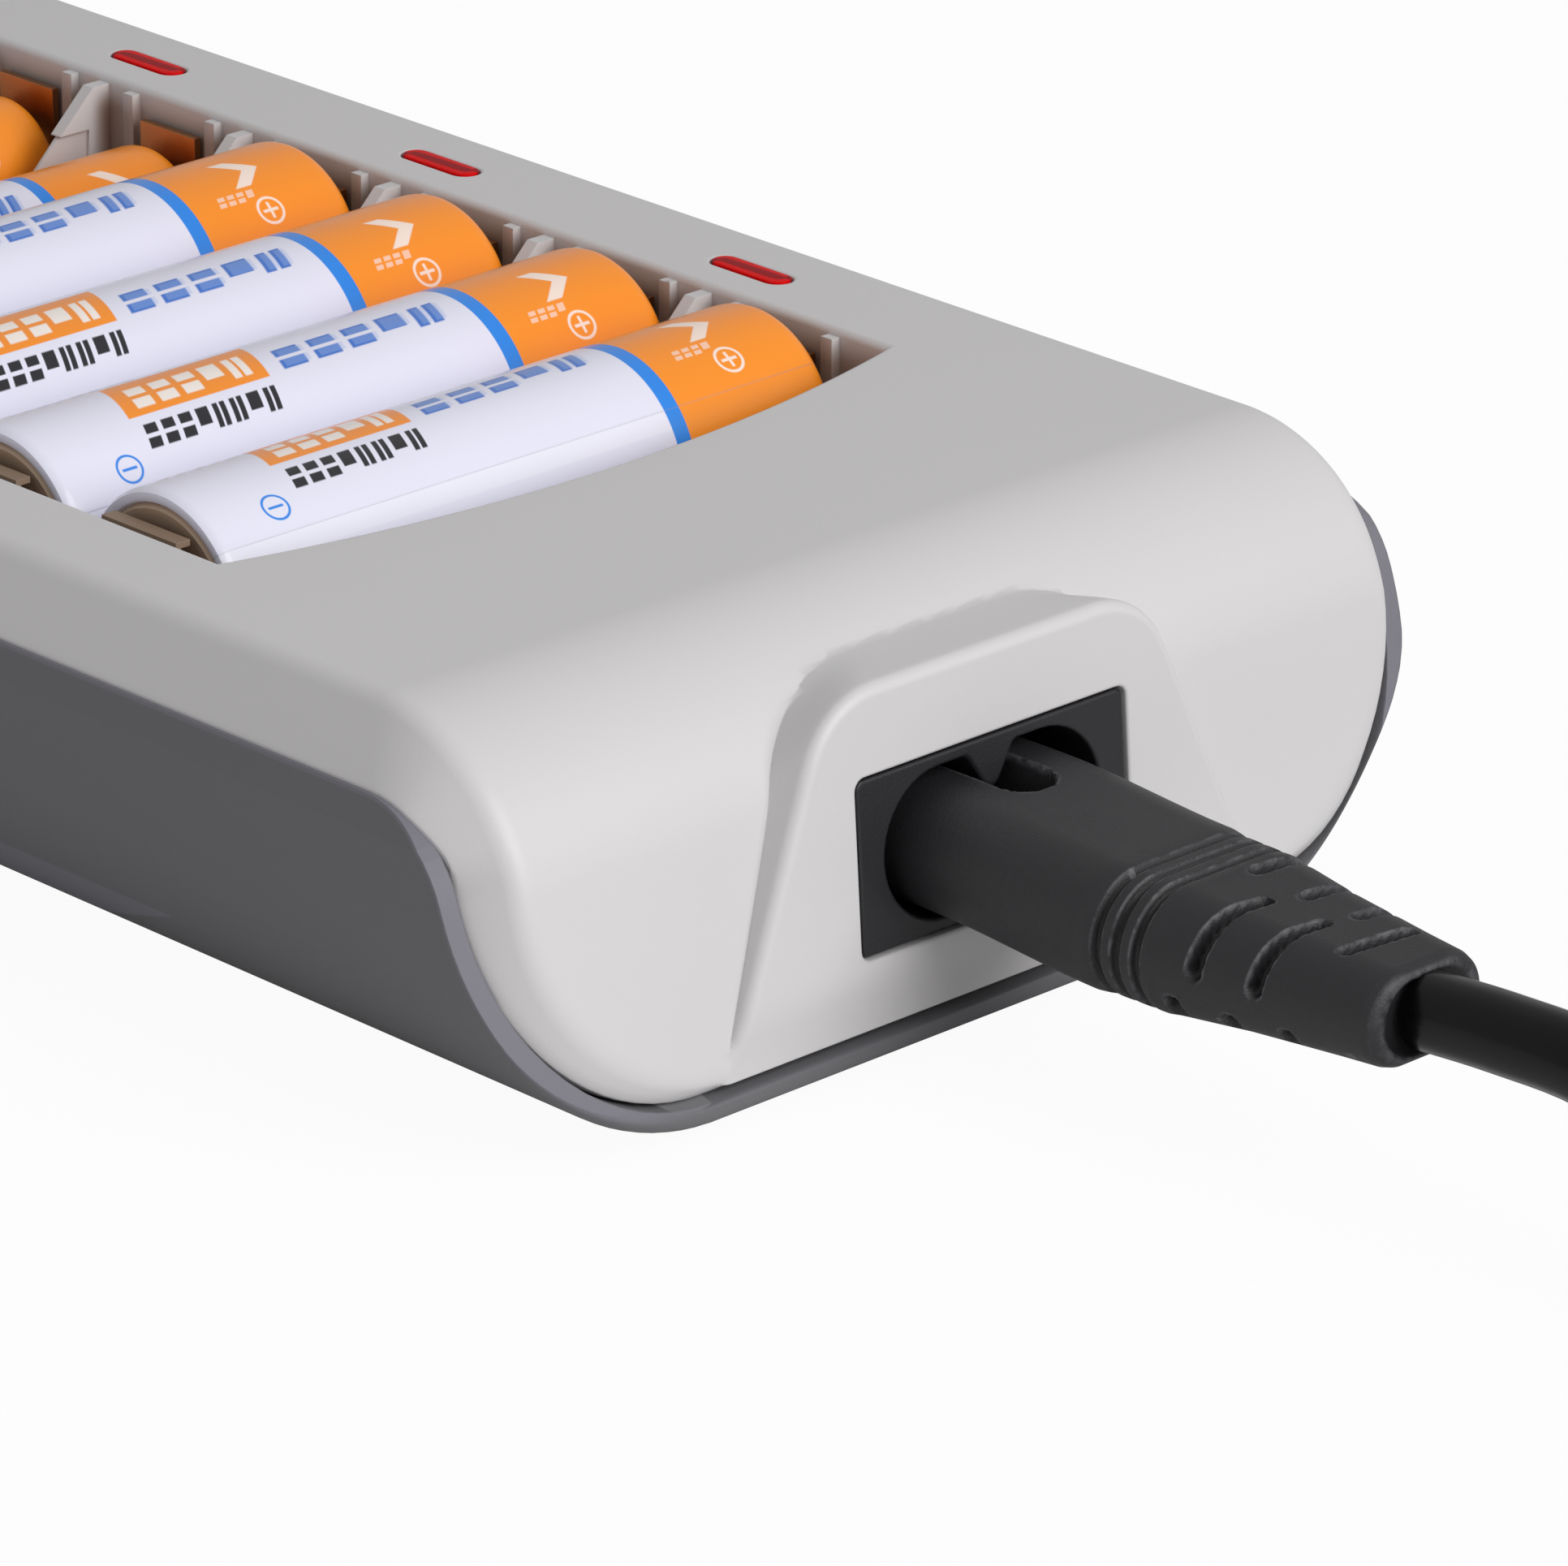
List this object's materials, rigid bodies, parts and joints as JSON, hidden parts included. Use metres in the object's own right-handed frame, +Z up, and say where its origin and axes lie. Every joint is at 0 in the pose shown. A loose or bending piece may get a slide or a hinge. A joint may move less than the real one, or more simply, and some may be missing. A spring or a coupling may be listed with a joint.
{
  "type": "battery charger",
  "caption": "Flat desktop charger for cylindrical cells: two-part case with leaning ends, row of bays with fold-down contacts, four light bars and a mains lead plugged into one end.",
  "frame": {"origin": "middle of the case on the surface it stands on, below the rubber feet", "axes": "+X along the case towards the mains inlet, +Y towards the light bars, +Z up"},
  "size_m": [0.3195, 0.1136, 0.028],
  "materials": {
    "white_shell": "satin white plastic, finely textured",
    "grey_shell": "satin dark grey plastic",
    "inlet_black": "black moulded plastic",
    "pin_metal": "nickel plated",
    "board_green": "green solder mask",
    "winding_tape": "yellow insulating tape",
    "sleeve_blue": "dark blue sleeve",
    "ceramic": "pale ceramic",
    "chip_black": "black moulded package",
    "lamp_red": "clear red plastic",
    "contact_metal": "nickel plated spring steel",
    "contact_copper": "tinned copper alloy",
    "cell_sleeve": "glossy printed sleeve in lilac white, blue and orange",
    "screw_steel": "zinc plated",
    "foot_rubber": "black rubber",
    "plug_black": "satin black moulding",
    "cord_black": "smooth black flexible sleeve"
  },
  "bodies": {
    "case": {"top_shell": "white_shell", "base_shell": "grey_shell", "inlet_socket": "inlet_black", "inlet_pins": "pin_metal", "circuit_board": "board_green", "transformer": "winding_tape", "main_capacitor": "sleeve_blue", "output_capacitor": "sleeve_blue", "fuse": "ceramic", "control_chip": "chip_black", "led_lamps": "lamp_red", "lens_1": "lamp_red", "lens_2": "lamp_red", "lens_3": "lamp_red", "lens_4": "lamp_red", "negative_rail": "contact_metal", "hinge_wires": "contact_metal", "positive_contact_1": "contact_copper", "positive_contact_2": "contact_copper", "positive_contact_3": "contact_copper", "positive_contact_4": "contact_copper", "positive_contact_5": "contact_copper", "positive_contact_6": "contact_copper", "positive_contact_7": "contact_copper", "positive_contact_8": "contact_copper", "aaa_cell_1": "cell_sleeve", "aaa_cell_2": "cell_sleeve", "aaa_cell_3": "cell_sleeve", "aaa_cell_4": "cell_sleeve", "aa_cell_5": "cell_sleeve", "aa_cell_6": "cell_sleeve", "aa_cell_7": "cell_sleeve", "aa_cell_8": "cell_sleeve", "shell_screws": "screw_steel", "rubber_feet": "foot_rubber", "lead_plug": "plug_black", "lead_cord": "cord_black", "lead_coil": "cord_black", "lead_tie": "cord_black", "mains_plug": "plug_black", "mains_pins": "pin_metal"},
    "contact_1": {"flap_1": "contact_metal"},
    "contact_2": {"flap_2": "contact_metal"},
    "contact_3": {"flap_3": "contact_metal"},
    "contact_4": {"flap_4": "contact_metal"},
    "contact_5": {"flap_5": "contact_metal"},
    "contact_6": {"flap_6": "contact_metal"},
    "contact_7": {"flap_7": "contact_metal"},
    "contact_8": {"flap_8": "contact_metal"}
  },
  "joints": [
    {"name": "flap_1_fold", "type": "hinge", "parent": "case", "child": "contact_1", "pos_m": [-0.0582, -0.02665, 0.019], "axis": [1, 0, 0], "range_deg": [0, 90]},
    {"name": "flap_2_fold", "type": "hinge", "parent": "case", "child": "contact_2", "pos_m": [-0.0434, -0.02665, 0.019], "axis": [1, 0, 0], "range_deg": [0, 90]},
    {"name": "flap_3_fold", "type": "hinge", "parent": "case", "child": "contact_3", "pos_m": [-0.0286, -0.02665, 0.019], "axis": [1, 0, 0], "range_deg": [0, 90]},
    {"name": "flap_4_fold", "type": "hinge", "parent": "case", "child": "contact_4", "pos_m": [-0.0138, -0.02665, 0.019], "axis": [1, 0, 0], "range_deg": [0, 90]},
    {"name": "flap_5_fold", "type": "hinge", "parent": "case", "child": "contact_5", "pos_m": [0.001, -0.02665, 0.019], "axis": [1, 0, 0], "range_deg": [0, 6], "stiffness_Nm_per_rad": 0.004, "springref_deg": -6.88},
    {"name": "flap_6_fold", "type": "hinge", "parent": "case", "child": "contact_6", "pos_m": [0.0158, -0.02665, 0.019], "axis": [1, 0, 0], "range_deg": [0, 6], "stiffness_Nm_per_rad": 0.004, "springref_deg": -6.88},
    {"name": "flap_7_fold", "type": "hinge", "parent": "case", "child": "contact_7", "pos_m": [0.0306, -0.02665, 0.019], "axis": [1, 0, 0], "range_deg": [0, 6], "stiffness_Nm_per_rad": 0.004, "springref_deg": -6.88},
    {"name": "flap_8_fold", "type": "hinge", "parent": "case", "child": "contact_8", "pos_m": [0.0454, -0.02665, 0.019], "axis": [1, 0, 0], "range_deg": [0, 6], "stiffness_Nm_per_rad": 0.004, "springref_deg": -6.88}
  ]
}
